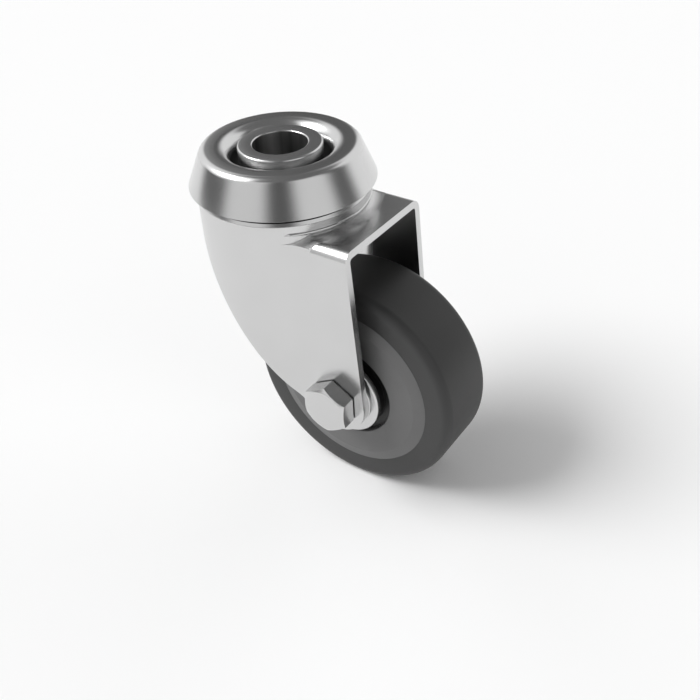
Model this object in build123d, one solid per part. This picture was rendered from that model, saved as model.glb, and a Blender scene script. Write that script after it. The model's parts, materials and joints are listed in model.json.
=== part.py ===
from build123d import *
import os
from math import asin, atan2, cos, hypot, radians, sin, sqrt, tan

# Light swivel castor that is fastened by one bolt through the hollow pin of its head.
# Millimetres. The origin is the centre of the bolt hole on the top face, +Z is up the
# swivel axis, +X is the side the wheel trails to and Y is the direction of the axle.

# Main layout
trail = 19.4
axle_height = -49.7
wheel_diameter = 50.0
tread_width = 16.2

# Clearances, and how near a corner or edge must lie to be the one looked for
match_tolerance = 0.01
seat_clearance = 0.02
running_clearance = 0.04
skirt_gap = 0.2
turning_gap = 0.5

# Hollow pin of the head
bolt_hole_radius = 5.6
bolt_hole_bevel = 0.4
pin_radius = 8.7
pin_edge_bevel = 0.4
pin_flange_margin = 2.6
pin_flange_top = -3.2
pin_flange_thickness = 1.5
pin_ball_gap = 0.9
pin_neck_step = 1.3
pin_rivet_reach = 1.5
pin_rivet_height = 1.3
pin_rivet_bevel = 0.4

# Pressed cap of the head
cap_thickness = 1.5
cap_hole_radius = 10.2
cap_roll_radius = 3.1
cap_flat_radius = 15.0
cap_edge_radius = 1.8
cap_flare_angle = 23.0
cap_bottom = -7.5
cap_lip_round = 0.3
cap_lip_radius = 17.4

# Swivel ball rows
ball_diameter = 4.0
ball_pitch_radius = 11.6
ball_count = 17
groove_depth = 0.43
race_ring_thickness = 1.6
race_ring_hole_gap = 0.4
cup_thickness = 1.6
cup_wall_margin = 2.6
cup_wall_thickness = 1.5
cup_corner_radius = 1.2

# Pressed fork
sheet = 1.6
fork_head_radius = 17.9
fork_half_width = 13.4
waist_radius = 8.0
crown_drop = 2.7
crown_end = 24.2
bend_radius = 2.4
foot_bead_drop = 2.05
foot_bead_radius = 0.3
flare_start_drop = 2.15
flare_reach = 2.9
flare_shoulder_angle = 30.0
front_wall_height = 5.5
front_cut_radius = 380.0
front_cut_angle = 51.5
front_corner_radius = 4.0
leg_end_radius = 7.5
hole_clearance = 0.1

# Axle bolt and nut
bolt_diameter = 6.0
head_across_flats = 10.0
head_height = 4.0
washer_face_height = 0.3
washer_face_radius = 4.5
head_bevel_angle = 30.0
head_face_share = 0.95
bolt_end_bevel = 0.5
nut_across_flats = 10.0
nut_hex_height = 4.6
nut_collar_radius = 4.5
nut_collar_height = 1.5
nut_collar_wall = 0.5
nut_crimp_height = 0.4
nut_crimp_reach = 0.4
bolt_stand_out = 1.0
thread_clearance = 0.02

# Ball bearings of the wheel
bearing_outer_radius = 11.0
bearing_bore_radius = 4.0
bearing_width = 7.0
outer_shoulder_radius = 9.3
inner_shoulder_radius = 5.7
bearing_ball_diameter = 3.96
bearing_pitch_radius = 7.5
bearing_ball_count = 7
cage_inner_radius = 6.9
cage_outer_radius = 8.1
cage_half_width = 2.35
seal_thickness = 0.5
seal_inset = 0.2
seal_lip_gap = 0.2

# Wheel core and tyre
hub_half_width = 9.0
hub_rib_half_width = 0.6
hub_rib_radius = 9.7
face_break_radius = 16.8
face_break_half_width = 8.8
tyre_seat_radius = 19.3
seat_rib_radius = 20.6
seat_rib_half_width = 3.0
tyre_shoulder_radius = 2.0

# Spacer collars and axle tube
collar_step_radius = 7.4
collar_step_length = 0.8
collar_flange_radius = 9.4
collar_nose_radius = 5.5
collar_edge_bevel = 0.3

# Sizes that follow from the ones above
ball_radius = ball_diameter / 2
groove_radius = ball_radius + running_clearance
pin_flange_radius = ball_pitch_radius + pin_flange_margin
pin_spigot_radius = ball_pitch_radius - ball_radius - pin_ball_gap
pin_neck_radius = pin_spigot_radius - pin_neck_step
pin_rivet_radius = pin_neck_radius + pin_rivet_reach
cup_wall_inner_radius = ball_pitch_radius + cup_wall_margin
pin_flange_bottom = pin_flange_top - pin_flange_thickness
upper_ball_height = pin_flange_bottom + groove_depth - groove_radius
ring_top = upper_ball_height - groove_radius + groove_depth
fork_top = ring_top - race_ring_thickness
plate_bottom = fork_top - sheet
lower_ball_height = plate_bottom + groove_depth - groove_radius
cup_floor = lower_ball_height - groove_radius + groove_depth
cup_bottom = cup_floor - cup_thickness
pin_bottom = cup_bottom - pin_rivet_height
race_hole_radius = pin_spigot_radius + race_ring_hole_gap
race_ring_slope = race_ring_thickness * tan(radians(cap_flare_angle))
crown_top = fork_top - crown_drop
front_lip = fork_top - front_wall_height
leg_inner = fork_half_width - sheet
inner_bend_radius = bend_radius - sheet
bolt_radius = bolt_diameter / 2
leg_hole_radius = bolt_radius + hole_clearance
wheel_radius = wheel_diameter / 2
bearing_face = hub_rib_half_width + bearing_width
bearing_middle = hub_rib_half_width + bearing_width / 2
tube_outer_radius = bearing_bore_radius - seat_clearance
collar_bore_radius = bearing_bore_radius + seat_clearance
below_all = axle_height - wheel_diameter

# The axle's own frame: its local Z is the far side, which is +Y of the whole castor.
axle_frame = Plane(origin=(trail, 0, axle_height), x_dir=(1, 0, 0), z_dir=(0, 1, 0))


# A turned piece from its half section, given as radius and height pairs.
def turned(points):
    return revolve(Plane.XZ * make_face(Polyline(*points, close=True)), Axis.Z)


# A plain ring between two radii and two heights.
def ring(inner, outer, low, high):
    return turned([(inner, low), (outer, low), (outer, high), (inner, high)])


# The round path that a row of balls leaves in its race.
def ball_path(pitch, radius, height):
    return Pos(0, 0, height) * Torus(pitch, radius)


# A row of loose balls.
def ball_row(pitch, radius, count, height):
    balls = [Pos(0, 0, height) * place * Sphere(radius) for place in PolarLocations(pitch, count)]
    return Compound(children=balls)


# A piece of the near side of the axle, or its twin on the far side.
def on_axle(piece, side):
    placed = axle_frame * piece
    if side == "near":
        placed = mirror(placed, Plane.XZ)
    return placed


# The hollow pin: bolt hole, flange over the upper balls, neck and riveted foot.
def make_pin():
    body = turned([
        (bolt_hole_radius + bolt_hole_bevel, 0),
        (pin_radius - pin_edge_bevel, 0),
        (pin_radius, -pin_edge_bevel),
        (pin_radius, pin_flange_top),
        (pin_flange_radius, pin_flange_top),
        (pin_flange_radius, pin_flange_bottom),
        (pin_spigot_radius, pin_flange_bottom),
        (pin_spigot_radius, cup_floor),
        (pin_neck_radius, cup_floor),
        (pin_neck_radius, cup_bottom),
        (pin_rivet_radius, cup_bottom),
        (pin_rivet_radius, pin_bottom + pin_rivet_bevel),
        (pin_rivet_radius - pin_rivet_bevel, pin_bottom),
        (bolt_hole_radius, pin_bottom),
        (bolt_hole_radius, -bolt_hole_bevel),
    ])
    return body - ball_path(ball_pitch_radius, groove_radius, upper_ball_height)


# The pressed cap: rolled hole, flat ring, round edge, flared skirt and turned lip.
def make_cap():
    slope = tan(radians(cap_flare_angle))
    normal = (cos(radians(cap_flare_angle)), sin(radians(cap_flare_angle)))
    roll_centre = cap_hole_radius + cap_roll_radius
    edge_height = -cap_edge_radius
    skirt_top = (cap_flat_radius + cap_edge_radius * normal[0],
                 edge_height + cap_edge_radius * normal[1])
    lip_height = cap_bottom + cap_lip_round
    skirt_end_height = lip_height + cap_lip_round * normal[1]
    skirt_end = (skirt_top[0] + (skirt_top[1] - skirt_end_height) * slope, skirt_end_height)
    lip_centre = (skirt_end[0] - cap_lip_round * normal[0], lip_height)
    inner_edge_radius = cap_edge_radius - cap_thickness
    inner_top = (cap_flat_radius + inner_edge_radius * normal[0],
                 edge_height + inner_edge_radius * normal[1])
    lip_inner_height = inner_top[1] - (cap_lip_radius - inner_top[0]) / slope
    roll_inner = cap_hole_radius + cap_thickness
    outside = [
        Line((cap_hole_radius, pin_flange_top), (cap_hole_radius, -cap_roll_radius)),
        RadiusArc((cap_hole_radius, -cap_roll_radius), (roll_centre, 0), cap_roll_radius),
        Line((roll_centre, 0), (cap_flat_radius, 0)),
        RadiusArc((cap_flat_radius, 0), skirt_top, cap_edge_radius),
        Line(skirt_top, skirt_end),
        RadiusArc(skirt_end, (lip_centre[0], cap_bottom), cap_lip_round),
        Line((lip_centre[0], cap_bottom), (cap_lip_radius, cap_bottom)),
    ]
    inside = [
        Line((cap_lip_radius, cap_bottom), (cap_lip_radius, lip_inner_height)),
        Line((cap_lip_radius, lip_inner_height), inner_top),
        RadiusArc(inner_top, (cap_flat_radius, -cap_thickness), -inner_edge_radius),
        Line((cap_flat_radius, -cap_thickness), (roll_centre, -cap_thickness)),
        RadiusArc((roll_centre, -cap_thickness), (roll_inner, -cap_roll_radius),
                  -(cap_roll_radius - cap_thickness)),
        Line((roll_inner, -cap_roll_radius), (roll_inner, pin_flange_top)),
        Line((roll_inner, pin_flange_top), (cap_hole_radius, pin_flange_top)),
    ]
    return revolve(Plane.XZ * make_face(outside + inside), Axis.Z)


# The race ring that shows as a sloping band between the cap and the fork.
def make_race_ring():
    band = turned([
        (race_hole_radius, fork_top),
        (fork_head_radius, fork_top),
        (fork_head_radius - race_ring_slope, ring_top),
        (race_hole_radius, ring_top),
    ])
    return band - ball_path(ball_pitch_radius, groove_radius, upper_ball_height)


# The pressed cup that carries the lower balls.
def make_lower_cup():
    wall_outer = cup_wall_inner_radius + cup_wall_thickness
    wall_top = plate_bottom - turning_gap
    hole = pin_neck_radius + seat_clearance
    cup = turned([
        (hole, cup_bottom),
        (wall_outer, cup_bottom),
        (wall_outer, wall_top),
        (cup_wall_inner_radius, wall_top),
        (cup_wall_inner_radius, cup_floor),
        (hole, cup_floor),
    ])
    outer_corner = cup.edges().filter_by(GeomType.CIRCLE).group_by(Axis.Z)[0].sort_by(SortBy.RADIUS)[-1]
    cup = fillet(outer_corner, cup_corner_radius)
    return cup - ball_path(ball_pitch_radius, groove_radius, lower_ball_height)


# Plan outline of the fork: the round head runs into two straight legs through a waist.
def fork_plan(inset):
    half_width = fork_half_width - inset
    length = trail + leg_end_radius + bend_radius
    head = Circle(fork_head_radius - inset)
    legs = Pos(length / 2, 0) * Rectangle(length, 2 * half_width)
    outline = head + legs
    corners = [v for v in outline.vertices() if v.X < crown_end and abs(abs(v.Y) - half_width) < match_tolerance]
    return fillet(corners, waist_radius + inset)


# A block of the plan outline with a sharp top, and the top edges that get bent.
def fork_blank(inset, top):
    block = extrude(Pos(0, 0, below_all) * fork_plan(inset), amount=top - below_all)
    end = trail + leg_end_radius
    rim = [e for e in block.edges().group_by(Axis.Z)[-1] if e.center().X < end]
    return block, rim


# The block with its top edge bent round.
def fork_block(inset, top, bend):
    block, rim = fork_blank(inset, top)
    return fillet(rim, bend)


# The block with a sloping top edge that runs into the bend of the lower crown without a step.
def shouldered_block(top, rise):
    block, rim = fork_blank(0, top)
    slope = radians(flare_shoulder_angle)
    down = rise + bend_radius * (1 - (1 - sin(slope)) / cos(slope))
    return chamfer(rim, down / tan(slope), down, reference=block.faces().sort_by(Axis.Z)[-1])


# Side view of the fork: short front wall, swept cut, round axle end and leaning back edge.
def fork_side():
    axle = (trail, axle_height)
    corner = (crown_end, crown_top)
    reach = hypot(axle[0] - corner[0], axle[1] - corner[1])
    heading = atan2(axle[1] - corner[1], axle[0] - corner[0]) + asin(leg_end_radius / reach)
    length = sqrt(reach ** 2 - leg_end_radius ** 2)
    back_end = (corner[0] + length * cos(heading), corner[1] + length * sin(heading))
    cut = radians(front_cut_angle)
    outward = (-sin(cut), -cos(cut))
    front_end = (axle[0] + leg_end_radius * outward[0], axle[1] + leg_end_radius * outward[1])
    far = front_cut_radius - leg_end_radius
    sweep_centre = (axle[0] - far * outward[0], axle[1] - far * outward[1])
    front_start_x = sweep_centre[0] - sqrt(front_cut_radius ** 2 - (front_lip - sweep_centre[1]) ** 2)
    front_start = (front_start_x, front_lip)
    bottom = (axle[0], axle[1] - leg_end_radius)
    before_all = -fork_head_radius - bend_radius
    outline = make_face([
        Line((before_all, 0), (crown_end, 0)),
        Line((crown_end, 0), corner),
        Line(corner, back_end),
        ThreePointArc(back_end, bottom, front_end),
        RadiusArc(front_end, front_start, front_cut_radius),
        Line(front_start, (before_all, front_lip)),
        Line((before_all, front_lip), (before_all, 0)),
    ])
    inner_corner = [v for v in outline.vertices() if abs(v.X - front_start_x) < match_tolerance]
    return fillet(inner_corner, front_corner_radius)


# The concave flare between the raised head and the flat crown.
def crown_flare():
    start = fork_top - flare_start_drop
    rise = start - crown_top
    radius = (flare_reach ** 2 + rise ** 2) / (2 * rise)
    foot = fork_head_radius + flare_reach
    section = make_face([
        Line((fork_head_radius - sheet, start), (fork_head_radius, start)),
        RadiusArc((fork_head_radius, start), (foot, crown_top), -radius),
        Line((foot, crown_top), (foot, crown_top - bend_radius)),
        Line((foot, crown_top - bend_radius), (fork_head_radius - sheet, crown_top - bend_radius)),
        Line((fork_head_radius - sheet, crown_top - bend_radius), (fork_head_radius - sheet, start)),
    ])
    return revolve(Plane.XZ * section, Axis.Z) & shouldered_block(start, rise)


# The small bead round the foot of the raised head, where it stands clear of the legs' walls.
def foot_bead():
    height = fork_top - foot_bead_drop + foot_bead_radius
    bead = Pos(0, 0, height) * Torus(fork_head_radius, foot_bead_radius)
    return bead & fork_block(0, fork_top, bend_radius)


# The pressed fork: one sheet with a raised round head, a flat crown and two legs.
def make_fork():
    depth = fork_top - below_all
    head = Pos(0, 0, below_all) * Cylinder(fork_head_radius, depth, align=(Align.CENTER, Align.CENTER, Align.MIN))
    outer = fork_block(0, crown_top, bend_radius) + head + crown_flare() + foot_bead()
    inner_head = Pos(0, 0, below_all) * Cylinder(
        fork_head_radius - sheet, depth - sheet, align=(Align.CENTER, Align.CENTER, Align.MIN))
    inner = fork_block(sheet, crown_top - sheet, inner_bend_radius) + inner_head
    side = extrude(Plane.XZ * fork_side(), amount=fork_head_radius + bend_radius, both=True)
    body = (outer - inner) & side
    body -= Cylinder(race_hole_radius, 2 * abs(below_all))
    body -= axle_frame * Cylinder(leg_hole_radius, 2 * abs(below_all))
    return body - ball_path(ball_pitch_radius, groove_radius, lower_ball_height)


# A hexagon with one corner straight up, between two distances along the axle.
def hexagon(across_flats, start, end):
    outline = RegularPolygon(across_flats / sqrt(3), 6, rotation=30)
    return extrude(Pos(0, 0, start) * outline, amount=end - start)


# The cone that bevels the corners of a hexagon at its outer face.
def corner_bevel(across_flats, start, end):
    flat = across_flats / 2 * head_face_share
    spread = (end - start) / tan(radians(head_bevel_angle))
    return turned([(0, start), (flat + spread, start), (flat, end), (0, end)])


# The hexagon bolt that is the axle.
def make_bolt():
    seat = fork_half_width
    top = seat + head_height
    head = hexagon(head_across_flats, seat + washer_face_height, top)
    head &= corner_bevel(head_across_flats, seat, top)
    face = Pos(0, 0, seat) * Cylinder(
        washer_face_radius, washer_face_height, align=(Align.CENTER, Align.CENTER, Align.MIN))
    tip = -(fork_half_width + nut_hex_height + nut_collar_height + bolt_stand_out)
    shank = turned([
        (0, tip),
        (bolt_radius - bolt_end_bevel, tip),
        (bolt_radius, tip + bolt_end_bevel),
        (bolt_radius, seat + washer_face_height),
        (0, seat + washer_face_height),
    ])
    return on_axle(head + face + shank, "near")


# The lock nut: a hexagon with a thin collar that holds the insert.
def make_nut():
    seat = fork_half_width
    hex_end = seat + nut_hex_height
    crimp = hex_end + nut_collar_height - nut_crimp_height
    body = hexagon(nut_across_flats, seat, hex_end) & corner_bevel(nut_across_flats, seat, hex_end)
    pocket = nut_collar_radius - nut_collar_wall
    collar = ring(pocket, nut_collar_radius, hex_end, crimp)
    collar += ring(pocket - nut_crimp_reach, nut_collar_radius, crimp, crimp + nut_crimp_height)
    hole = bolt_radius + thread_clearance
    body -= Pos(0, 0, seat) * Cylinder(hole, 2 * abs(below_all))
    return on_axle(body + collar, "far")


# The plastic ring that grips the thread.
def make_nut_insert():
    hex_end = fork_half_width + nut_hex_height
    crimp = hex_end + nut_collar_height - nut_crimp_height
    pocket = nut_collar_radius - nut_collar_wall - seat_clearance
    return on_axle(ring(bolt_radius + thread_clearance, pocket, hex_end, crimp), "far")


# The tube that the bolt clamps between the legs.
def make_axle_tube():
    return on_axle(ring(leg_hole_radius, tube_outer_radius, -leg_inner, leg_inner), "far")


# The short ring that keeps the two inner rings apart.
def make_inner_spacer():
    return on_axle(
        ring(collar_bore_radius, collar_nose_radius, -hub_rib_half_width, hub_rib_half_width), "far")


# The stepped collar between a leg and its bearing.
def make_collar(side):
    step = leg_inner - collar_step_length
    back = hub_half_width + turning_gap
    profile = turned([
        (collar_bore_radius, bearing_face),
        (collar_nose_radius, bearing_face),
        (collar_nose_radius, back),
        (collar_flange_radius, back),
        (collar_flange_radius, step - collar_edge_bevel),
        (collar_flange_radius - collar_edge_bevel, step),
        (collar_step_radius, step),
        (collar_step_radius, leg_inner),
        (collar_bore_radius, leg_inner),
    ])
    return on_axle(profile, side)


# The rings, balls, cage and seals of one bearing.
def bearing_path():
    return ball_path(bearing_pitch_radius, bearing_ball_diameter / 2 + running_clearance, bearing_middle)


def make_outer_ring(side):
    body = ring(outer_shoulder_radius, bearing_outer_radius, hub_rib_half_width, bearing_face)
    return on_axle(body - bearing_path(), side)


def make_inner_ring(side):
    body = ring(bearing_bore_radius, inner_shoulder_radius, hub_rib_half_width, bearing_face)
    return on_axle(body - bearing_path(), side)


def make_bearing_balls(side):
    balls = ball_row(bearing_pitch_radius, bearing_ball_diameter / 2, bearing_ball_count, bearing_middle)
    return on_axle(balls, side)


def make_cage(side):
    low = bearing_middle - cage_half_width
    high = bearing_middle + cage_half_width
    body = ring(cage_inner_radius, cage_outer_radius, low, high)
    pocket = bearing_ball_diameter / 2 + running_clearance
    for place in PolarLocations(bearing_pitch_radius, bearing_ball_count):
        body -= Pos(0, 0, bearing_middle) * place * Rot(0, 90, 0) * Cylinder(pocket, cage_outer_radius / 2)
    return on_axle(body, side)


def make_seals(side):
    inner = inner_shoulder_radius + seal_lip_gap
    outer = outer_shoulder_radius - seat_clearance
    front = bearing_face - seal_inset
    back = hub_rib_half_width + seal_inset
    pair = [
        ring(inner, outer, front - seal_thickness, front),
        ring(inner, outer, back, back + seal_thickness),
    ]
    return on_axle(Compound(children=pair), side)


# The plastic wheel core, turned about the axle.
def make_rim():
    half = [
        (hub_rib_radius, 0),
        (hub_rib_radius, hub_rib_half_width),
        (bearing_outer_radius, hub_rib_half_width),
        (bearing_outer_radius, hub_half_width),
        (face_break_radius, face_break_half_width),
        (tyre_seat_radius, tread_width / 2),
        (tyre_seat_radius, seat_rib_half_width),
        (seat_rib_radius, seat_rib_half_width),
        (seat_rib_radius, 0),
    ]
    other_half = [(r, -h) for r, h in reversed(half) if h > 0]
    return on_axle(turned(half + other_half), "far")


# The tyre that is moulded onto the core.
def make_tyre():
    half = [
        (seat_rib_radius, seat_rib_half_width),
        (tyre_seat_radius, seat_rib_half_width),
        (tyre_seat_radius, tread_width / 2),
        (wheel_radius, tread_width / 2),
    ]
    other_half = [(r, -h) for r, h in reversed(half)]
    tyre = turned(half + other_half)
    shoulders = [
        e for e in tyre.edges().filter_by(GeomType.CIRCLE) if abs(e.radius - wheel_radius) < match_tolerance
    ]
    return on_axle(fillet(shoulders, tyre_shoulder_radius), "far")


pieces = {
    "hollow_pin": make_pin(),
    "head_cap": make_cap(),
    "lower_race_cup": make_lower_cup(),
    "upper_balls": ball_row(ball_pitch_radius, ball_radius, ball_count, upper_ball_height),
    "lower_balls": ball_row(ball_pitch_radius, ball_radius, ball_count, lower_ball_height),
    "upper_race_ring": make_race_ring(),
    "fork": make_fork(),
    "axle_bolt": make_bolt(),
    "lock_nut": make_nut(),
    "nut_insert": make_nut_insert(),
    "axle_tube": make_axle_tube(),
    "inner_spacer": make_inner_spacer(),
    "rim": make_rim(),
    "tyre": make_tyre(),
}
for side in ("near", "far"):
    pieces[side + "_collar"] = make_collar(side)
    pieces[side + "_bearing_outer_ring"] = make_outer_ring(side)
    pieces[side + "_bearing_inner_ring"] = make_inner_ring(side)
    pieces[side + "_bearing_balls"] = make_bearing_balls(side)
    pieces[side + "_bearing_cage"] = make_cage(side)
    pieces[side + "_bearing_seals"] = make_seals(side)

os.makedirs("parts", exist_ok=True)
for name, piece in pieces.items():
    export_step(piece, f"parts/{name}.step")
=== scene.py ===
import json
from math import atan2, cos, degrees, pi, radians, sin, sqrt, tan

import bpy
from mathutils import Matrix, Vector

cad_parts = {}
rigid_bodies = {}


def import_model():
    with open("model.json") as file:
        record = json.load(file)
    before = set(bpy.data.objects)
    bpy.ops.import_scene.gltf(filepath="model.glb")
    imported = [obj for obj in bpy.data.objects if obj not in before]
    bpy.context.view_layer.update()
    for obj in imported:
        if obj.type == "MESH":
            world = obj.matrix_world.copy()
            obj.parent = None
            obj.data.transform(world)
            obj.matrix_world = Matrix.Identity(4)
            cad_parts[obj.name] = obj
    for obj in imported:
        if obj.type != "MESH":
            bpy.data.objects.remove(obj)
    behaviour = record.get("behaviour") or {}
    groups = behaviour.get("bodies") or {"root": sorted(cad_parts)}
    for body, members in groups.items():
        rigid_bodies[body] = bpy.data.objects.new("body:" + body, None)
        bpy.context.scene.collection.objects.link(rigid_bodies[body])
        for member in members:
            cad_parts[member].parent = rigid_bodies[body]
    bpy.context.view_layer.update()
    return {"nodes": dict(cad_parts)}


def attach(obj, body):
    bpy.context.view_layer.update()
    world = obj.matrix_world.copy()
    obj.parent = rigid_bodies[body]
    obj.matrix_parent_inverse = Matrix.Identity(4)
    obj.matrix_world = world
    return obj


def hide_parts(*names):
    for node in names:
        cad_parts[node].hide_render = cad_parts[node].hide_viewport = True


# start from an empty scene
bpy.ops.object.select_all(action="SELECT")
bpy.ops.object.delete()
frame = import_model()
nodes = frame["nodes"]

mm = 0.001

# places in the frame, in millimetres from the middle of the bolt hole
trail = 19.4  # how far the axle trails behind the swivel axis, along +X
axleHeight = -49.7
legInner = 11.8  # the leg's face beside the wheel
legOuter = 13.4  # the leg's face under the bolt's head and the nut

# how far the edges of turned and moulded pieces are rounded, in millimetres
crispEdge = 0.05
fineEdge = 0.1
brokenEdge = 0.15
softEdge = 0.2

smoothAngle = 25  # degrees; a sharper turn keeps its crease
weldDistance = 0.0005  # millimetres


# Modelling helpers

def deselectAll():
    if bpy.context.object and bpy.context.object.mode != "OBJECT":
        bpy.ops.object.mode_set(mode="OBJECT")
    bpy.ops.object.select_all(action="DESELECT")


def pick(piece):
    deselectAll()
    piece.select_set(True)
    bpy.context.view_layer.objects.active = piece


def applyPlace(piece):
    pick(piece)
    bpy.ops.object.transform_apply(location=True, rotation=True, scale=True)


# corners are (radius, height, round) in millimetres; a round corner becomes an arc
def roundedOutline(corners, arcSteps):
    outline = []
    count = len(corners)
    for index, (x, y, rounding) in enumerate(corners):
        here = Vector((x, y))
        if rounding <= 0:
            outline.append(here)
            continue
        before = Vector(corners[index - 1][:2])
        after = Vector(corners[(index + 1) % count][:2])
        toBefore = (before - here).normalized()
        toAfter = (after - here).normalized()
        halfAngle = toBefore.angle(toAfter) / 2
        reach = rounding / tan(halfAngle)
        centre = here + (toBefore + toAfter).normalized() * rounding / sin(halfAngle)
        start = here + toBefore * reach - centre
        end = here + toAfter * reach - centre
        sweep = atan2(start.x * end.y - start.y * end.x, start.dot(end))
        steps = max(3, round(arcSteps * abs(degrees(sweep)) / 90))
        for step in range(steps + 1):
            turn = sweep * step / steps
            outline.append(centre + Matrix.Rotation(turn, 2) @ start)
    return outline


# spin a closed half section round the swivel axis or the axle
def turnPiece(name, corners, about, steps=128, arcSteps=8, side=-1):
    deselectAll()
    outline = roundedOutline(corners, arcSteps)
    if about == "swivel":
        places = [Vector((p.x, 0, p.y)) * mm for p in outline]
        centre, axis = (0, 0, 0), (0, 0, 1)
    else:
        places = [Vector((trail + p.x, side * p.y, axleHeight)) * mm for p in outline]
        centre, axis = (trail * mm, 0, axleHeight * mm), (0, 1, 0)
    bpy.ops.mesh.primitive_plane_add(size=mm, location=(0, 0, 0))
    piece = bpy.context.object
    piece.name = name
    bpy.ops.object.mode_set(mode="EDIT")
    bpy.ops.mesh.merge(type="CENTER")
    bpy.ops.transform.translate(value=places[0])
    for last, place in zip(places, places[1:] + places[:1]):
        bpy.ops.mesh.extrude_region_move(TRANSFORM_OT_translate={"value": place - last})
    bpy.ops.mesh.select_all(action="SELECT")
    bpy.ops.mesh.remove_doubles(threshold=weldDistance * mm)
    bpy.ops.mesh.spin(steps=steps, angle=2 * pi, center=centre, axis=axis)
    bpy.ops.mesh.select_all(action="SELECT")
    bpy.ops.mesh.remove_doubles(threshold=weldDistance * mm)
    bpy.ops.mesh.normals_make_consistent(inside=False)
    bpy.ops.object.mode_set(mode="OBJECT")
    bpy.ops.object.shade_smooth_by_angle(angle=radians(smoothAngle))
    return piece


def cut(piece, tool, operation):
    pick(piece)
    modifier = piece.modifiers.new("cut", "BOOLEAN")
    modifier.operation = operation
    modifier.object = tool
    modifier.solver = "EXACT"
    bpy.ops.object.modifier_apply(modifier="cut")
    bpy.data.objects.remove(tool, do_unlink=True)


def softenEdges(piece, width, angle):
    pick(piece)
    modifier = piece.modifiers.new("edges", "BEVEL")
    modifier.width = width * mm
    modifier.segments = 3
    modifier.limit_method = "ANGLE"
    modifier.angle_limit = radians(angle)
    modifier.harden_normals = False
    bpy.ops.object.modifier_apply(modifier="edges")
    bpy.ops.object.shade_smooth_by_angle(angle=radians(angle))


def ironFaces(piece):  # flat faces keep flat shading next to their rounded edges
    pick(piece)
    modifier = piece.modifiers.new("iron", "WEIGHTED_NORMAL")
    modifier.keep_sharp = True
    bpy.ops.object.modifier_apply(modifier="iron")


def finishPiece(piece, material, body, replaced):
    piece.data.materials.clear()
    piece.data.materials.append(material)
    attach(piece, body)
    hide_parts(*replaced)


# Shader helpers

def addNode(tree, kind, at=(0, 0), **values):
    node = tree.nodes.new(kind)
    node.location = at
    for key, value in values.items():
        setattr(node, key, value)
    return node


def newGroup(name, inputs, outputs):
    group = bpy.data.node_groups.new(name, "ShaderNodeTree")
    for label, kind, value in inputs:
        socket = group.interface.new_socket(label, in_out="INPUT", socket_type=kind)
        socket.default_value = value
    for label, kind in outputs:
        group.interface.new_socket(label, in_out="OUTPUT", socket_type=kind)
    addNode(group, "NodeGroupInput", (-900, 0))
    addNode(group, "NodeGroupOutput", (700, 0))
    return group


# scales of the noise per metre; the sheens add to the roughness; the height is in metres
plating = {"cloudScale": 160, "cloudDetail": 4, "cloudLow": 0.3, "cloudHigh": 0.7, "cloudSheen": 0.03,
           "grainScale": 3800, "grainDetail": 3, "grainSheen": 0.02, "grainHeight": 0.00002}


# plated or ground metal: faint clouding and fine grain, which vary the sheen as well
def makePlatingGroup():
    group = newGroup(
        "platedSurface",
        [("Clouding", "NodeSocketFloat", 0.025), ("Grain", "NodeSocketFloat", 0.012),
         ("Stretch", "NodeSocketVector", (1, 1, 1)), ("Smoothness", "NodeSocketFloat", 0.2),
         ("Tint", "NodeSocketColor", (0.65, 0.65, 0.65, 1))],
        [("Color", "NodeSocketColor"), ("Roughness", "NodeSocketFloat"), ("Normal", "NodeSocketVector")])
    links = group.links
    inlet = group.nodes["Group Input"]
    outlet = group.nodes["Group Output"]
    coordinates = addNode(group, "ShaderNodeTexCoord", (-900, -300))
    stretched = addNode(group, "ShaderNodeVectorMath", (-700, -200), operation="MULTIPLY")
    links.new(coordinates.outputs["Object"], stretched.inputs[0])
    links.new(inlet.outputs["Stretch"], stretched.inputs[1])
    clouds = addNode(group, "ShaderNodeTexNoise", (-500, 200))
    clouds.inputs["Scale"].default_value = plating["cloudScale"]
    clouds.inputs["Detail"].default_value = plating["cloudDetail"]
    links.new(stretched.outputs[0], clouds.inputs["Vector"])
    grain = addNode(group, "ShaderNodeTexNoise", (-500, -200))
    grain.inputs["Scale"].default_value = plating["grainScale"]
    grain.inputs["Detail"].default_value = plating["grainDetail"]
    links.new(stretched.outputs[0], grain.inputs["Vector"])
    cloudShade = addNode(group, "ShaderNodeMapRange", (-300, 200))
    cloudShade.inputs["From Min"].default_value = plating["cloudLow"]
    cloudShade.inputs["From Max"].default_value = plating["cloudHigh"]
    links.new(clouds.outputs["Fac"], cloudShade.inputs["Value"])
    darker = addNode(group, "ShaderNodeMix", (200, 250), data_type="RGBA", blend_type="MULTIPLY")
    links.new(inlet.outputs["Clouding"], darker.inputs["Factor"])
    links.new(inlet.outputs["Tint"], darker.inputs["A"])
    links.new(cloudShade.outputs["Result"], darker.inputs["B"])
    links.new(darker.outputs["Result"], outlet.inputs["Color"])
    spread = addNode(group, "ShaderNodeMath", (-100, 0), operation="MULTIPLY_ADD")
    spread.inputs[1].default_value = plating["cloudSheen"]
    links.new(clouds.outputs["Fac"], spread.inputs[0])
    links.new(inlet.outputs["Smoothness"], spread.inputs[2])
    fleck = addNode(group, "ShaderNodeMath", (100, -50), operation="MULTIPLY_ADD")
    fleck.inputs[1].default_value = plating["grainSheen"]
    links.new(grain.outputs["Fac"], fleck.inputs[0])
    links.new(spread.outputs[0], fleck.inputs[2])
    links.new(fleck.outputs[0], outlet.inputs["Roughness"])
    bump = addNode(group, "ShaderNodeBump", (300, -250))
    bump.inputs["Distance"].default_value = plating["grainHeight"]
    links.new(inlet.outputs["Grain"], bump.inputs["Strength"])
    links.new(grain.outputs["Fac"], bump.inputs["Height"])
    links.new(bump.outputs["Normal"], outlet.inputs["Normal"])
    return group


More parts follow.
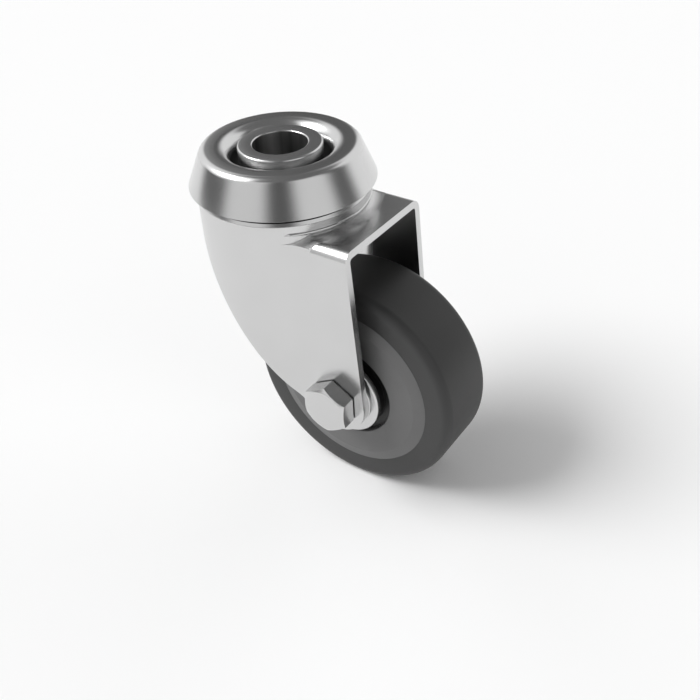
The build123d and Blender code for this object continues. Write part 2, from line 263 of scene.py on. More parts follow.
moulding = {"patchScale": 120, "patchDetail": 5, "patchLow": 0.3, "patchHigh": 0.7, "patchFloor": 0.4,
            "patchSheen": 0.12, "pebbleDetail": 2, "pebbleHeight": 0.00003}


# rubber and moulded plastic: pebbled skin, patchy tint and sheen
def makeMouldedGroup():
    group = newGroup(
        "mouldedSurface",
        [("Tint", "NodeSocketColor", (0.07, 0.07, 0.07, 1)), ("Patches", "NodeSocketFloat", 0.15),
         ("Pebble", "NodeSocketFloat", 0.2), ("Fineness", "NodeSocketFloat", 2500),
         ("Smoothness", "NodeSocketFloat", 0.5)],
        [("Color", "NodeSocketColor"), ("Roughness", "NodeSocketFloat"), ("Normal", "NodeSocketVector")])
    links = group.links
    inlet = group.nodes["Group Input"]
    outlet = group.nodes["Group Output"]
    coordinates = addNode(group, "ShaderNodeTexCoord", (-900, -300))
    patches = addNode(group, "ShaderNodeTexNoise", (-500, 200))
    patches.inputs["Scale"].default_value = moulding["patchScale"]
    patches.inputs["Detail"].default_value = moulding["patchDetail"]
    links.new(coordinates.outputs["Object"], patches.inputs["Vector"])
    pebble = addNode(group, "ShaderNodeTexNoise", (-500, -200))
    pebble.inputs["Detail"].default_value = moulding["pebbleDetail"]
    links.new(coordinates.outputs["Object"], pebble.inputs["Vector"])
    links.new(inlet.outputs["Fineness"], pebble.inputs["Scale"])
    patchShade = addNode(group, "ShaderNodeMapRange", (-300, 200))
    patchShade.inputs["From Min"].default_value = moulding["patchLow"]
    patchShade.inputs["From Max"].default_value = moulding["patchHigh"]
    patchShade.inputs["To Min"].default_value = moulding["patchFloor"]
    links.new(patches.outputs["Fac"], patchShade.inputs["Value"])
    darker = addNode(group, "ShaderNodeMix", (200, 250), data_type="RGBA", blend_type="MULTIPLY")
    links.new(inlet.outputs["Patches"], darker.inputs["Factor"])
    links.new(inlet.outputs["Tint"], darker.inputs["A"])
    links.new(patchShade.outputs["Result"], darker.inputs["B"])
    links.new(darker.outputs["Result"], outlet.inputs["Color"])
    sheen = addNode(group, "ShaderNodeMath", (0, 0), operation="MULTIPLY_ADD")
    sheen.inputs[1].default_value = moulding["patchSheen"]
    links.new(patches.outputs["Fac"], sheen.inputs[0])
    links.new(inlet.outputs["Smoothness"], sheen.inputs[2])
    links.new(sheen.outputs[0], outlet.inputs["Roughness"])
    bump = addNode(group, "ShaderNodeBump", (300, -250))
    bump.inputs["Distance"].default_value = moulding["pebbleHeight"]
    links.new(inlet.outputs["Pebble"], bump.inputs["Strength"])
    links.new(pebble.outputs["Fac"], bump.inputs["Height"])
    links.new(bump.outputs["Normal"], outlet.inputs["Normal"])
    return group


# what takes the plated group is metal
def makeMaterial(name, group, values, specular=0.5):
    material = bpy.data.materials.new(name)
    material.use_nodes = True
    tree = material.node_tree
    shader = tree.nodes["Principled BSDF"]
    shader.inputs["Metallic"].default_value = 1 if group == plated else 0
    shader.inputs["Specular IOR Level"].default_value = specular
    surface = addNode(tree, "ShaderNodeGroup", (-300, 100), node_tree=group)
    for label, value in values.items():
        surface.inputs[label].default_value = value
    tree.links.new(surface.outputs["Color"], shader.inputs["Base Color"])
    tree.links.new(surface.outputs["Roughness"], shader.inputs["Roughness"])
    tree.links.new(surface.outputs["Normal"], shader.inputs["Normal"])
    material.diffuse_color = values["Tint"]
    return material


def grey(level):
    return (level, level, level, 1)


plated = makePlatingGroup()
moulded = makeMouldedGroup()
capSteel = makeMaterial("brightCapPlating", plated, {"Tint": grey(0.65), "Smoothness": 0.19})
pinSteel = makeMaterial("turnedPinSteel", plated, {"Tint": grey(0.65), "Smoothness": 0.22})
# painted shade and painted reflections: the bore's tint is darker than the pin's, clouded into streaks along
# it
paintedBoreShade = makeMaterial(
    "paintedShadeStreakedBore", plated,
    {"Tint": grey(0.55), "Smoothness": 0.36, "Clouding": 1.0, "Stretch": (1.1, 1.1, 0.04)})
# painted shade: a near-black, non-metal finish stands in for the shade in the gaps under the cap
paintedGapShade = makeMaterial("paintedShadeGapSteel", moulded, {"Tint": grey(0.006), "Smoothness": 0.6}, specular=0.1)
ringSteel = makeMaterial("raceRingSteel", plated, {"Tint": grey(0.65), "Smoothness": 0.2})
forkSteel = makeMaterial("pressedForkPlating", plated, {"Tint": grey(0.64), "Smoothness": 0.22})
# painted shade: a dark plating for the fork's inner faces, which lie in shade
paintedForkShade = makeMaterial("paintedShadeInnerFork", plated, {"Tint": grey(0.22), "Smoothness": 0.3})
boltSteel = makeMaterial("boltPlating", plated, {"Tint": grey(0.64), "Smoothness": 0.23})
bearingSteel = makeMaterial("groundBearingSteel", plated, {"Tint": grey(0.55), "Smoothness": 0.15})
# painted shade: the bearings' outer rings are painted near-black for the shade in the hub's recess
paintedRingShade = makeMaterial("paintedShadeOuterRing", plated, {"Tint": grey(0.05), "Smoothness": 0.4})
ballSteel = makeMaterial("polishedBallSteel", plated, {"Tint": grey(0.7), "Smoothness": 0.04, "Grain": 0.02})
tyreRubber = makeMaterial("tyreRubber", moulded, {"Tint": grey(0.039), "Smoothness": 0.42}, specular=0.45)
rimPlastic = makeMaterial("greyRimPlastic", moulded, {"Tint": grey(0.125), "Smoothness": 0.36})
sealRubber = makeMaterial("blackSealRubber", moulded, {"Tint": grey(0.008), "Smoothness": 0.5}, specular=0.3)
cagePlastic = makeMaterial("cagePlastic", moulded, {"Tint": grey(0.2), "Smoothness": 0.45})
insertPlastic = makeMaterial("insertPlastic", moulded, {"Tint": (0.55, 0.6, 0.68, 1), "Smoothness": 0.4})
print("materials made")

nodeMaterials = {
    "pin_steel": pinSteel, "cap_steel": capSteel, "ring_steel": ringSteel, "fork_steel": forkSteel,
    "cup_steel": forkSteel, "ball_steel": ballSteel, "bolt_steel": boltSteel, "bearing_steel": bearingSteel,
    "outer_ring_steel": paintedRingShade, "cage_plastic": cagePlastic, "seal_rubber": sealRubber,
    "insert_plastic": insertPlastic, "rim_plastic": rimPlastic, "tyre_rubber": tyreRubber,
}
for node in nodes.values():
    for place in node.material_slots:
        place.material = nodeMaterials[place.material.name.split(".")[0]]
print("frame nodes dressed")

# Fork: one pressed sheet, its cut edges slightly softened by the plating

# the last four values pick the inner faces, which take painted shade; backEdge leaves out what faces +X
fork = {"weldDistance": 0.001, "flatness": 0.6, "edgeSoftness": 0.18, "sharpAngle": 34,
        "innerTop": -13.7, "innerHead": 16.4, "innerReach": 0.1, "backEdge": 0.5}


def makeFork():
    deselectAll()
    source = nodes["fork"]
    piece = source.copy()
    piece.data = source.data.copy()
    piece.name = "pressedFork"
    bpy.context.scene.collection.objects.link(piece)
    pick(piece)
    bpy.ops.mesh.customdata_custom_splitnormals_clear()
    bpy.ops.object.mode_set(mode="EDIT")
    bpy.ops.mesh.select_all(action="SELECT")
    bpy.ops.mesh.remove_doubles(threshold=fork["weldDistance"] * mm)
    bpy.ops.mesh.mark_sharp(clear=True)
    bpy.ops.mesh.dissolve_limited(angle_limit=radians(fork["flatness"]))
    bpy.ops.object.mode_set(mode="OBJECT")
    softenEdges(piece, fork["edgeSoftness"], fork["sharpAngle"])
    ironFaces(piece)
    finishPiece(piece, forkSteel, "swivel_fork", ["fork"])
    # painted shade: the faces beside the wheel and under the head are painted dark
    piece.data.materials.append(paintedForkShade)
    for face in piece.data.polygons:
        across, along, up = face.center / mm
        besideWheel = up < fork["innerTop"] and abs(along) < legInner + fork["innerReach"]
        underHead = across > 0 or sqrt(across ** 2 + along ** 2) < fork["innerHead"]
        onBackEdge = across > 0 and face.normal.x > fork["backEdge"]
        if besideWheel and underHead and not onBackEdge:
            face.material_index = 1


makeFork()
print("fork made")

# Head: the places that its pieces share, then pressed cap, hollow pin, race ring and lower cup

head = {"flare": 23.0, "ballPitch": 11.6, "grooveRadius": 2.04, "grooveSteps": 10,
        "upperBalls": -6.31, "lowerBalls": -12.73, "flangeTop": -3.2,
        "neckRadius": 7.4, "cupFloor": -14.34, "cupFoot": -15.94}
flareAngle = radians(head["flare"])
flareSlope = tan(flareAngle)


# a flat stretch that a row of balls has worn its groove into, from the row's outer side to its inner side
def groove(height, ballHeight):
    reach = sqrt(head["grooveRadius"] ** 2 - (height - ballHeight) ** 2)
    first = atan2(height - ballHeight, reach)
    last = atan2(height - ballHeight, -reach)
    steps = head["grooveSteps"]
    turns = [first + (last - first) * step / steps for step in range(steps + 1)]
    return [(head["ballPitch"] + head["grooveRadius"] * cos(turn),
             ballHeight + head["grooveRadius"] * sin(turn), 0) for turn in turns]


cap = {"flatRadius": 15.0, "edgeRound": 1.8, "wall": 1.5, "holeRadius": 10.2, "rollRound": 3.1,
       "bottom": -7.5, "lipRadius": 17.4, "lipRound": 0.02}


def makeCap():
    edgeCorner = cap["flatRadius"] + cap["edgeRound"] * tan((pi / 2 - flareAngle) / 2)
    wallCorner = edgeCorner - cap["wall"] / cos(flareAngle) + cap["wall"] * flareSlope
    innerLip = -cap["wall"] - (cap["lipRadius"] - wallCorner) / flareSlope
    rollInside = cap["holeRadius"] + cap["wall"]
    outline = [
        (cap["holeRadius"], head["flangeTop"], fineEdge),
        (cap["holeRadius"], 0, cap["rollRound"]),
        (edgeCorner, 0, cap["edgeRound"]),
        (edgeCorner - cap["bottom"] * flareSlope, cap["bottom"], cap["lipRound"]),
        (cap["lipRadius"], cap["bottom"], brokenEdge),
        (cap["lipRadius"], innerLip, 0),
        (wallCorner, -cap["wall"], cap["edgeRound"] - cap["wall"]),
        (rollInside, -cap["wall"], cap["rollRound"] - cap["wall"]),
        (rollInside, head["flangeTop"], fineEdge),
    ]
    piece = turnPiece("pressedCap", outline, "swivel", steps=160, arcSteps=12)
    finishPiece(piece, capSteel, "head", ["head_cap"])


# boreReach and flangeReach are how near a face lies to the bore or the flange to take its painted shade
pin = {"boreRadius": 5.6, "radius": 8.7, "flangeRadius": 14.2, "flangeBottom": -4.7,
       "footRadius": 8.9, "footBottom": -17.24, "boreRound": 0.35, "topRound": 0.4,
       "footRound": 0.5, "footBoreRound": 0.3, "boreReach": 0.05, "flangeReach": 0.1}


def makePin():
    outline = [
        (pin["boreRadius"], 0, pin["boreRound"]),
        (pin["radius"], 0, pin["topRound"]),
        (pin["radius"], head["flangeTop"], brokenEdge),
        (pin["flangeRadius"], head["flangeTop"], softEdge),
        (pin["flangeRadius"], pin["flangeBottom"], softEdge),
        *groove(pin["flangeBottom"], head["upperBalls"]),
        (pin["radius"], pin["flangeBottom"], 0),
        (pin["radius"], head["cupFloor"], 0),
        (head["neckRadius"], head["cupFloor"], 0),
        (head["neckRadius"], head["cupFoot"], 0),
        (pin["footRadius"], head["cupFoot"], fineEdge),
        (pin["footRadius"], pin["footBottom"], pin["footRound"]),
        (pin["boreRadius"], pin["footBottom"], pin["footBoreRound"]),
    ]
    piece = turnPiece("hollowPin", outline, "swivel", steps=128, arcSteps=8)
    finishPiece(piece, pinSteel, "head", ["hollow_pin"])
    # painted shade: the bore's wall and the flange's top in the gap under the cap are painted dark
    piece.data.materials.append(paintedBoreShade)
    piece.data.materials.append(paintedGapShade)
    for face in piece.data.polygons:
        across = face.center.xy.length / mm
        overFlange = face.center.z / mm - head["flangeTop"]
        inBore = across < pin["boreRadius"] + pin["boreReach"]
        onFlange = across > pin["radius"] and abs(overFlange) < pin["flangeReach"]
        if inBore:
            face.material_index = 1
        elif onFlange:
            face.material_index = 2


raceRing = {"holeRadius": 9.1, "footRadius": 17.9, "bottom": -9.52, "top": -7.92,
            "shadeStart": -8.8, "shadeEnd": -8.45, "sideDepth": 0.5}


def ringSide(height):  # radius of the ring's flared side at a height
    return raceRing["footRadius"] - (height - raceRing["bottom"]) * flareSlope


# painted shade: the side of the ring is painted dark where the cap's lip shades it
def makeRaceRing():
    outline = [
        (raceRing["holeRadius"], raceRing["bottom"], fineEdge),
        (raceRing["footRadius"], raceRing["bottom"], crispEdge),
        (ringSide(raceRing["shadeStart"]), raceRing["shadeStart"], 0),
        (ringSide(raceRing["shadeEnd"]), raceRing["shadeEnd"], 0),
        (ringSide(raceRing["top"]), raceRing["top"], brokenEdge),
        *groove(raceRing["top"], head["upperBalls"]),
        (raceRing["holeRadius"], raceRing["top"], brokenEdge),
    ]
    piece = turnPiece("raceRing", outline, "swivel", steps=128, arcSteps=6)
    finishPiece(piece, ringSteel, "swivel_fork", ["upper_race_ring"])
    # painted shade: the band between shadeStart and shadeEnd takes the near-black finish
    piece.data.materials.append(paintedGapShade)
    for face in piece.data.polygons:
        onSide = face.center.xy.length / mm > ringSide(raceRing["top"]) - raceRing["sideDepth"]
        if onSide and raceRing["shadeStart"] < face.center.z / mm < raceRing["shadeEnd"]:
            face.material_index = 1


lowerCup = {"holeGap": 0.02, "wallInside": 14.2, "wallOutside": 15.7, "top": -11.62,
            "bendRound": 1.2, "rimRound": 0.3}


def makeLowerCup():
    hole = head["neckRadius"] + lowerCup["holeGap"]
    outline = [
        (hole, head["cupFoot"], fineEdge),
        (lowerCup["wallOutside"], head["cupFoot"], lowerCup["bendRound"]),
        (lowerCup["wallOutside"], lowerCup["top"], lowerCup["rimRound"]),
        (lowerCup["wallInside"], lowerCup["top"], lowerCup["rimRound"]),
        (lowerCup["wallInside"], head["cupFloor"], fineEdge),
        *groove(head["cupFloor"], head["lowerBalls"]),
        (hole, head["cupFloor"], fineEdge),
    ]
    piece = turnPiece("lowerCup", outline, "swivel", steps=128, arcSteps=6)
    finishPiece(piece, forkSteel, "head", ["lower_race_cup"])


makeCap()
makePin()
makeRaceRing()
makeLowerCup()
print("head made")

# Wheel: the seat that core and tyre share, then both of them and the bearing seals

seat = {"radius": 19.3, "half": 8.1, "keyRadius": 20.6, "keyHalf": 3.0}


def mirrored(half):  # the outline's other half, across the middle of the wheel
    return half + [(radius, -height, rounding) for radius, height, rounding in reversed(half)]


rim = {"ribRadius": 9.7, "recessRadius": 11.0, "recessFloor": 0.6, "hubHalf": 9.0, "hubRound": 0.3,
       "breakRadius": 16.8, "breakHalf": 8.8, "breakRound": 0.25}


def makeRim():
    half = [
        (rim["ribRadius"], rim["recessFloor"], 0),
        (rim["recessRadius"], rim["recessFloor"], 0),
        (rim["recessRadius"], rim["hubHalf"], rim["hubRound"]),
        (rim["breakRadius"], rim["breakHalf"], rim["breakRound"]),
        (seat["radius"], seat["half"], crispEdge),
        (seat["radius"], seat["keyHalf"], 0),
        (seat["keyRadius"], seat["keyHalf"], 0),
    ]
    piece = turnPiece("mouldedRim", mirrored(half), "axle", steps=144, arcSteps=8)
    finishPiece(piece, rimPlastic, "wheel", ["rim"])


tyre = {"treadRadius": 25.0, "shoulderRound": 2.0}


def makeTyre():
    half = [
        (seat["keyRadius"], seat["keyHalf"], 0),
        (seat["radius"], seat["keyHalf"], 0),
        (seat["radius"], seat["half"], crispEdge),
        (tyre["treadRadius"], seat["half"], tyre["shoulderRound"]),
    ]
    piece = turnPiece("mouldedTyre", mirrored(half), "axle", steps=192, arcSteps=10)
    finishPiece(piece, tyreRubber, "wheel", ["tyre"])


# each seal is dished between its rims; front and back are distances from the wheel's middle
seal = {"inner": 5.9, "outer": 9.28, "front": 7.4, "back": 0.8, "wall": 0.5, "dish": 0.12,
        "innerRim": 0.8, "innerSlope": 1.1, "outerSlope": 0.7, "outerRim": 0.4}


def makeSeals(side, facing):
    faces = []
    for name, base, top, dish in (
            ("front", seal["front"] - seal["wall"], seal["front"], seal["dish"]),
            ("back", seal["back"] + seal["wall"], seal["back"], -seal["dish"])):
        outline = [
            (seal["inner"], base, crispEdge),
            (seal["inner"], top, brokenEdge),
            (seal["inner"] + seal["innerRim"], top, fineEdge),
            (seal["inner"] + seal["innerSlope"], top - dish, fineEdge),
            (seal["outer"] - seal["outerSlope"], top - dish, fineEdge),
            (seal["outer"] - seal["outerRim"], top, fineEdge),
            (seal["outer"], top, fineEdge),
            (seal["outer"], base, crispEdge),
        ]
        faces.append(turnPiece(side + "Seal" + name, outline, "axle", steps=96, arcSteps=4, side=facing))
    pick(faces[0])
    faces[1].select_set(True)
    bpy.ops.object.join()
    faces[0].name = side + "Seals"
    finishPiece(faces[0], sealRubber, "wheel", [side + "_bearing_seals"])


makeRim()
makeTyre()
makeSeals("near", -1)
makeSeals("far", 1)
print("wheel made")

# Axle: bolt, lock nut with its insert, and the stepped collars

# flatShare is the part of the width that stays flat at the end; the cones reach past the corners
hexagon = {"acrossFlats": 10.0, "turnedAngle": 30, "flatShare": 0.95, "coneShare": 1.5,
           "coneSteps": 144, "boreSteps": 96, "edgeSoftness": 0.1, "sharpAngle": 20}


def axlePlace(distance):  # a point of the axle's line; the far side is +Y
    return (trail * mm, distance * mm, axleHeight * mm)


# hexagon between two distances from the middle plane, its outer corners turned down to a circle;
# a nut is turned down at both ends and bored through, a bolt's head isn't
def makeHexagon(name, near, far, facing, bore=0):
    deselectAll()
    corner = hexagon["acrossFlats"] / sqrt(3)
    depth = far - near
    middle = axlePlace(facing * (near + far) / 2)
    bpy.ops.mesh.primitive_cylinder_add(
        vertices=6, radius=corner * mm, depth=depth * mm, location=middle, rotation=(pi / 2, 0, 0))
    piece = bpy.context.object
    piece.name = name
    applyPlace(piece)
    reach = hexagon["acrossFlats"] * hexagon["coneShare"]
    flat = hexagon["acrossFlats"] / 2 * hexagon["flatShare"]
    drop = (reach - flat) * tan(radians(hexagon["turnedAngle"]))
    ends = [(far, 1), (near, -1)] if bore else [(far, 1)]
    for end, outward in ends:
        deselectAll()
        bpy.ops.mesh.primitive_cone_add(
            vertices=hexagon["coneSteps"], radius1=reach * mm, radius2=flat * mm, depth=drop * mm,
            end_fill_type="NGON", location=axlePlace(facing * (end - outward * drop / 2)),
            rotation=(-facing * outward * pi / 2, 0, 0))
        cone = bpy.context.object
        applyPlace(cone)
        cut(piece, cone, "INTERSECT")
    if bore:
        deselectAll()
        bpy.ops.mesh.primitive_cylinder_add(
            vertices=hexagon["boreSteps"], radius=bore * mm, depth=4 * depth * mm,
            location=middle, rotation=(pi / 2, 0, 0))
        rod = bpy.context.object
        applyPlace(rod)
        cut(piece, rod, "DIFFERENCE")
    softenEdges(piece, hexagon["edgeSoftness"], hexagon["sharpAngle"])
    ironFaces(piece)
    return piece


# the root holds shank and head together; threadRest is left plain at the tip, and the thread fades
# over runOut turns before it; a larger flank narrows its valleys; what lies further in than coreShare
# of the radius isn't threaded; poleRadius keeps the turned outline just off the axis
bolt = {"radius": 3.0, "headHeight": 4.0, "washerHeight": 0.3, "washerRadius": 4.5, "rootRadius": 3.5,
        "rootDepth": 0.5, "standOut": 1.0, "tipBevel": 0.5, "pitch": 1.0, "threadDepth": 0.5,
        "threadLength": 11.0, "threadRest": 0.1, "runOut": 0.4, "flank": 1.15, "coreShare": 0.9,
        "ringsPerTurn": 10, "poleRadius": 0.001}


# rolled thread: the rings of the shank moved in and out along a helix
def cutThread(piece, start, length):
    pitch = bolt["pitch"]
    for vertex in piece.data.vertices:
        across = vertex.co.x / mm - trail
        up = vertex.co.z / mm - axleHeight
        along = vertex.co.y / mm
        radius = sqrt(across ** 2 + up ** 2)
        if radius < bolt["radius"] * bolt["coreShare"] or along < start or along > start + length:
            continue
        turn = atan2(up, across) / (2 * pi)
        phase = (along / pitch + turn) % 1
        valley = 1 - abs(2 * phase - 1) * bolt["flank"]
        fade = min(1, (along - start) / pitch, (start + length - along) / (bolt["runOut"] * pitch))
        newRadius = bolt["radius"] - bolt["threadDepth"] * min(1, max(0, valley)) * max(0, fade)
        vertex.co.x = (trail + across * newRadius / radius) * mm
        vertex.co.z = (axleHeight + up * newRadius / radius) * mm


def makeBolt():
    piece = makeHexagon("axleBolt", legOuter + bolt["washerHeight"], legOuter + bolt["headHeight"], -1)
    washer = -legOuter - bolt["washerHeight"]
    tip = legOuter + nut["height"] + nut["collarHeight"] + bolt["standOut"]
    threadStart = tip - bolt["threadLength"]
    rings = round(bolt["threadLength"] / bolt["pitch"] * bolt["ringsPerTurn"])
    ringPlaces = [threadStart + bolt["threadLength"] * ring / rings for ring in range(rings)]
    outline = [
        (bolt["poleRadius"], washer - bolt["rootDepth"], 0),
        (bolt["rootRadius"], washer - bolt["rootDepth"], 0),
        (bolt["rootRadius"], washer, 0),
        (bolt["washerRadius"], washer, 0),
        (bolt["washerRadius"], -legOuter, crispEdge),
        (bolt["radius"], -legOuter, softEdge),
        *[(bolt["radius"], ringPlace, 0) for ringPlace in ringPlaces],
        (bolt["radius"], tip - bolt["tipBevel"], 0),
        (bolt["radius"] - bolt["tipBevel"], tip, brokenEdge),
        (bolt["poleRadius"], tip, 0),
    ]
    shank = turnPiece("boltShank", outline, "axle", steps=60, arcSteps=4, side=1)
    cutThread(shank, threadStart, bolt["threadLength"] - bolt["threadRest"])
    pick(piece)
    shank.select_set(True)
    bpy.ops.object.join()
    finishPiece(piece, boltSteel, "swivel_fork", ["axle_bolt"])


nut = {"height": 4.6, "threadGap": 0.02, "collarRadius": 4.5, "collarHeight": 1.5, "collarWall": 0.5,
       "collarRound": 0.45, "collarSink": 0.05, "crimp": 0.4, "insertGap": 0.02, "insertRound": 0.25}


def makeNut():
    hexEnd = legOuter + nut["height"]
    bore = bolt["radius"] + nut["threadGap"]
    end = hexEnd + nut["collarHeight"]
    crimp = end - nut["crimp"]
    pocket = nut["collarRadius"] - nut["collarWall"]
    piece = makeHexagon("lockNut", legOuter, hexEnd, 1, bore)
    outline = [
        (pocket, hexEnd - nut["collarSink"], 0),
        (nut["collarRadius"], hexEnd - nut["collarSink"], 0),
        (nut["collarRadius"], end, nut["collarRound"]),
        (pocket - nut["crimp"], end, fineEdge),
        (pocket - nut["crimp"], crimp, fineEdge),
        (pocket, crimp, 0),
    ]
    crown = turnPiece("nutCollar", outline, "axle", steps=96, arcSteps=6, side=1)
    pick(piece)
    crown.select_set(True)
    bpy.ops.object.join()
    bpy.ops.object.shade_smooth_by_angle(angle=radians(smoothAngle))
    ironFaces(piece)
    finishPiece(piece, boltSteel, "swivel_fork", ["lock_nut"])
    insertOutline = [
        (bore, hexEnd, fineEdge),
        (pocket - nut["insertGap"], hexEnd, 0),
        (pocket - nut["insertGap"], crimp, fineEdge),
        (bore, crimp, nut["insertRound"]),
    ]
    insert = turnPiece("gripInsert", insertOutline, "axle", steps=96, arcSteps=5, side=1)
    finishPiece(insert, insertPlastic, "swivel_fork", ["nut_insert"])


collar = {"bore": 4.02, "bearingFace": 7.6, "noseRadius": 5.5, "back": 9.5, "flangeRadius": 9.4,
          "flangeRound": 0.25, "frontRound": 0.35, "stepRadius": 7.4, "stepLength": 0.8}


def makeCollar(side, facing):
    step = legInner - collar["stepLength"]
    outline = [
        (collar["bore"], collar["bearingFace"], crispEdge),
        (collar["noseRadius"], collar["bearingFace"], fineEdge),
        (collar["noseRadius"], collar["back"], fineEdge),
        (collar["flangeRadius"], collar["back"], collar["flangeRound"]),
        (collar["flangeRadius"], step, collar["frontRound"]),
        (collar["stepRadius"], step, brokenEdge),
        (collar["stepRadius"], legInner, brokenEdge),
        (collar["bore"], legInner, fineEdge),
    ]
    piece = turnPiece(side + "Collar", outline, "axle", steps=128, arcSteps=7, side=facing)
    finishPiece(piece, boltSteel, "swivel_fork", [side + "_collar"])


makeBolt()
makeNut()
makeCollar("near", -1)
makeCollar("far", 1)
print("axle made")

# Camera

# degrees and millimetres, apart from the near and far limits in metres
camera = {"azimuth": 36.56, "elevation": 37.28, "roll": -3.42, "distance": 194.56,
          "target": (8.0, 0.0, -30.0), "acrossShift": 6.03, "upShift": -15.34,
          "lens": 46.286, "sensor": 36, "nearLimit": 0.001, "farLimit": 50}


def placeCamera():
    azimuth, elevation, roll = (radians(camera[angle]) for angle in ("azimuth", "elevation", "roll"))
    back = Vector((sin(azimuth) * cos(elevation), -cos(azimuth) * cos(elevation), sin(elevation)))
    right = Vector((cos(azimuth), sin(azimuth), 0))
    up = back.cross(right)
    tiltedRight = cos(roll) * right + sin(roll) * up
    tiltedUp = cos(roll) * up - sin(roll) * right
    place = (Vector(camera["target"]) + back * camera["distance"]
             + tiltedRight * camera["acrossShift"] + tiltedUp * camera["upShift"]) * mm
    data = bpy.data.cameras.new("photoCamera")
    data.lens = camera["lens"]
    data.sensor_width = camera["sensor"]
    data.clip_start = camera["nearLimit"]
    data.clip_end = camera["farLimit"]
    stand = bpy.data.objects.new("photoCamera", data)
    bpy.context.scene.collection.objects.link(stand)
    turn = Matrix((tiltedRight, tiltedUp, back)).transposed().to_4x4()
    stand.matrix_world = Matrix.Translation(place) @ turn
    bpy.context.scene.camera = stand
    print("camera at", tuple(stand.matrix_world.translation))


placeCamera()

# Floor, studio and lamp

# floorHeight in millimetres, other lengths in metres, angles in degrees, power in watts;
# each panel is (start, end, level) and each gap is the level after its panel
studio = {"floorHeight": -74.72, "floorReach": 1.6, "floorColour": 0.95, "floorRoughness": 0.9,
          "background": 0.983,
          "softboxAzimuth": -147.0, "softboxElevation": 45.0,
          "softboxDistance": 100.0, "softboxPower": 75600, "softboxSize": (66.0, 48.0),
          "glowAzimuth": -153.0, "glowElevation": 42.0, "glowRadius": 29, "glowBlur": 4, "glowLevel": 1.35,
          "panels": ((-39, 12, 1.03), (44, 114, 1.22), (141, 188, 1.22), (233, 286, 1.0)),
          "gaps": (0.15, 0.15, 0.12, 0.12), "panelBlur": 10,
          "ceiling": 0.21, "ceilingStart": 49, "ceilingBlur": 4}


def makeFloor():
    deselectAll()
    bpy.ops.mesh.primitive_plane_add(size=studio["floorReach"], location=(0, 0, studio["floorHeight"] * mm))
    floor = bpy.context.object
    floor.name = "studioFloor"
    applyPlace(floor)
    material = bpy.data.materials.new("paleFloor")
    material.use_nodes = True
    shader = material.node_tree.nodes["Principled BSDF"]
    shader.inputs["Base Color"].default_value = grey(studio["floorColour"])
    shader.inputs["Roughness"].default_value = studio["floorRoughness"]
    shader.inputs["Specular IOR Level"].default_value = 0.0
    floor.data.materials.append(material)


def towards(azimuth, elevation):
    across = cos(radians(elevation))
    return Vector((cos(radians(azimuth)) * across, sin(radians(azimuth)) * across, sin(radians(elevation))))


# the panels' soft edges as stops of a ramp that goes once round the studio
def fillRamp(ramp):
    ramp.interpolation = "EASE"
    blur = studio["panelBlur"]
    stops = []
    for index, (start, end, level) in enumerate(studio["panels"]):
        before, after = studio["gaps"][index - 1], studio["gaps"][index]
        stops += [(start - blur, before), (start + blur, level), (end - blur, level), (end + blur, after)]
    stops = sorted(((degree % 360) / 360, level) for degree, level in stops)
    for position, level in stops:
        ramp.elements.new(position).color = grey(level)
    frontLevel = studio["panels"][0][2]
    ramp.elements[0].color = grey(frontLevel)
    ramp.elements[-1].color = grey(frontLevel)


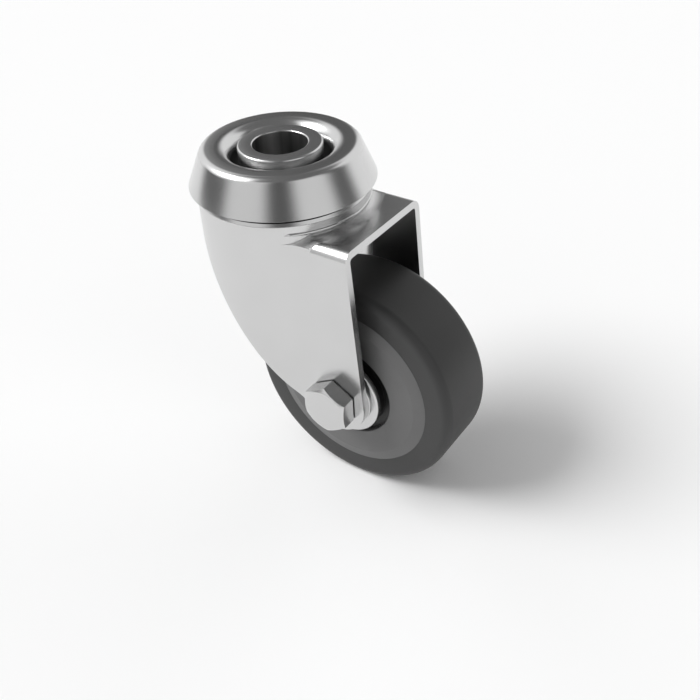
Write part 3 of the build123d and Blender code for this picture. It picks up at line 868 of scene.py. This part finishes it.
# four pale panels stand round the studio under a dim ceiling; the camera sees plain white
def makeStudio():
    world = bpy.data.worlds.new("studio")
    bpy.context.scene.world = world
    world.use_nodes = True
    tree = world.node_tree
    links = tree.links
    tree.nodes.clear()
    direction = addNode(tree, "ShaderNodeTexCoord", (-1200, 0))
    parts = addNode(tree, "ShaderNodeSeparateXYZ", (-1000, 0))
    links.new(direction.outputs["Generated"], parts.inputs[0])
    heading = addNode(tree, "ShaderNodeMath", (-800, 100), operation="ARCTAN2")
    links.new(parts.outputs["Y"], heading.inputs[0])
    links.new(parts.outputs["X"], heading.inputs[1])
    turned = addNode(tree, "ShaderNodeMath", (-600, 100), operation="MULTIPLY_ADD")
    turned.inputs[1].default_value = 1 / (2 * pi)
    turned.inputs[2].default_value = 1
    links.new(heading.outputs[0], turned.inputs[0])
    fraction = addNode(tree, "ShaderNodeMath", (-450, 100), operation="FRACT")
    links.new(turned.outputs[0], fraction.inputs[0])
    panels = addNode(tree, "ShaderNodeValToRGB", (-300, 100))
    fillRamp(panels.color_ramp)
    links.new(fraction.outputs[0], panels.inputs["Fac"])
    ceilingMask = addNode(tree, "ShaderNodeMapRange", (-600, -150), interpolation_type="SMOOTHSTEP")
    start, blur = studio["ceilingStart"], studio["ceilingBlur"]
    ceilingMask.inputs["From Min"].default_value = sin(radians(start - blur))
    ceilingMask.inputs["From Max"].default_value = sin(radians(start + blur))
    links.new(parts.outputs["Z"], ceilingMask.inputs["Value"])
    level = addNode(tree, "ShaderNodeMix", (50, 0), data_type="FLOAT")
    links.new(ceilingMask.outputs["Result"], level.inputs["Factor"])
    links.new(panels.outputs["Color"], level.inputs["A"])
    level.inputs["B"].default_value = studio["ceiling"]
    toGlow = addNode(tree, "ShaderNodeVectorMath", (-600, -350), operation="DOT_PRODUCT")
    toGlow.inputs[1].default_value = towards(studio["glowAzimuth"], studio["glowElevation"])
    links.new(direction.outputs["Generated"], toGlow.inputs[0])
    glowMask = addNode(tree, "ShaderNodeMapRange", (-400, -350), interpolation_type="SMOOTHSTEP")
    radius, blur = studio["glowRadius"], studio["glowBlur"]
    glowMask.inputs["From Min"].default_value = cos(radians(radius + blur))
    glowMask.inputs["From Max"].default_value = cos(radians(radius - blur))
    links.new(toGlow.outputs["Value"], glowMask.inputs["Value"])
    glowing = addNode(tree, "ShaderNodeMix", (150, -100), data_type="FLOAT")
    links.new(glowMask.outputs["Result"], glowing.inputs["Factor"])
    links.new(level.outputs["Result"], glowing.inputs["A"])
    glowing.inputs["B"].default_value = studio["glowLevel"]
    room = addNode(tree, "ShaderNodeBackground", (250, 0))
    links.new(glowing.outputs["Result"], room.inputs["Strength"])
    white = addNode(tree, "ShaderNodeBackground", (250, -150))
    white.inputs["Color"].default_value = grey(studio["background"])
    rays = addNode(tree, "ShaderNodeLightPath", (250, 300))
    either = addNode(tree, "ShaderNodeMixShader", (500, 0))
    links.new(rays.outputs["Is Camera Ray"], either.inputs[0])
    links.new(room.outputs[0], either.inputs[1])
    links.new(white.outputs[0], either.inputs[2])
    output = addNode(tree, "ShaderNodeOutputWorld", (700, 0))
    links.new(either.outputs[0], output.inputs["Surface"])


# the wide softbox stands far off, so that the floor is lit evenly
def makeSoftbox():
    lamp = bpy.data.lights.new("softbox", "AREA")
    lamp.shape = "ELLIPSE"
    lamp.size, lamp.size_y = studio["softboxSize"]
    lamp.energy = studio["softboxPower"]
    stand = bpy.data.objects.new("softbox", lamp)
    bpy.context.scene.collection.objects.link(stand)
    direction = towards(studio["softboxAzimuth"], studio["softboxElevation"])
    stand.rotation_mode = "QUATERNION"
    stand.rotation_quaternion = direction.to_track_quat("Z", "Y")
    stand.location = direction * studio["softboxDistance"]


makeFloor()
makeStudio()
makeSoftbox()
scene = bpy.context.scene
scene.view_settings.view_transform = "Standard"
print("studio set")
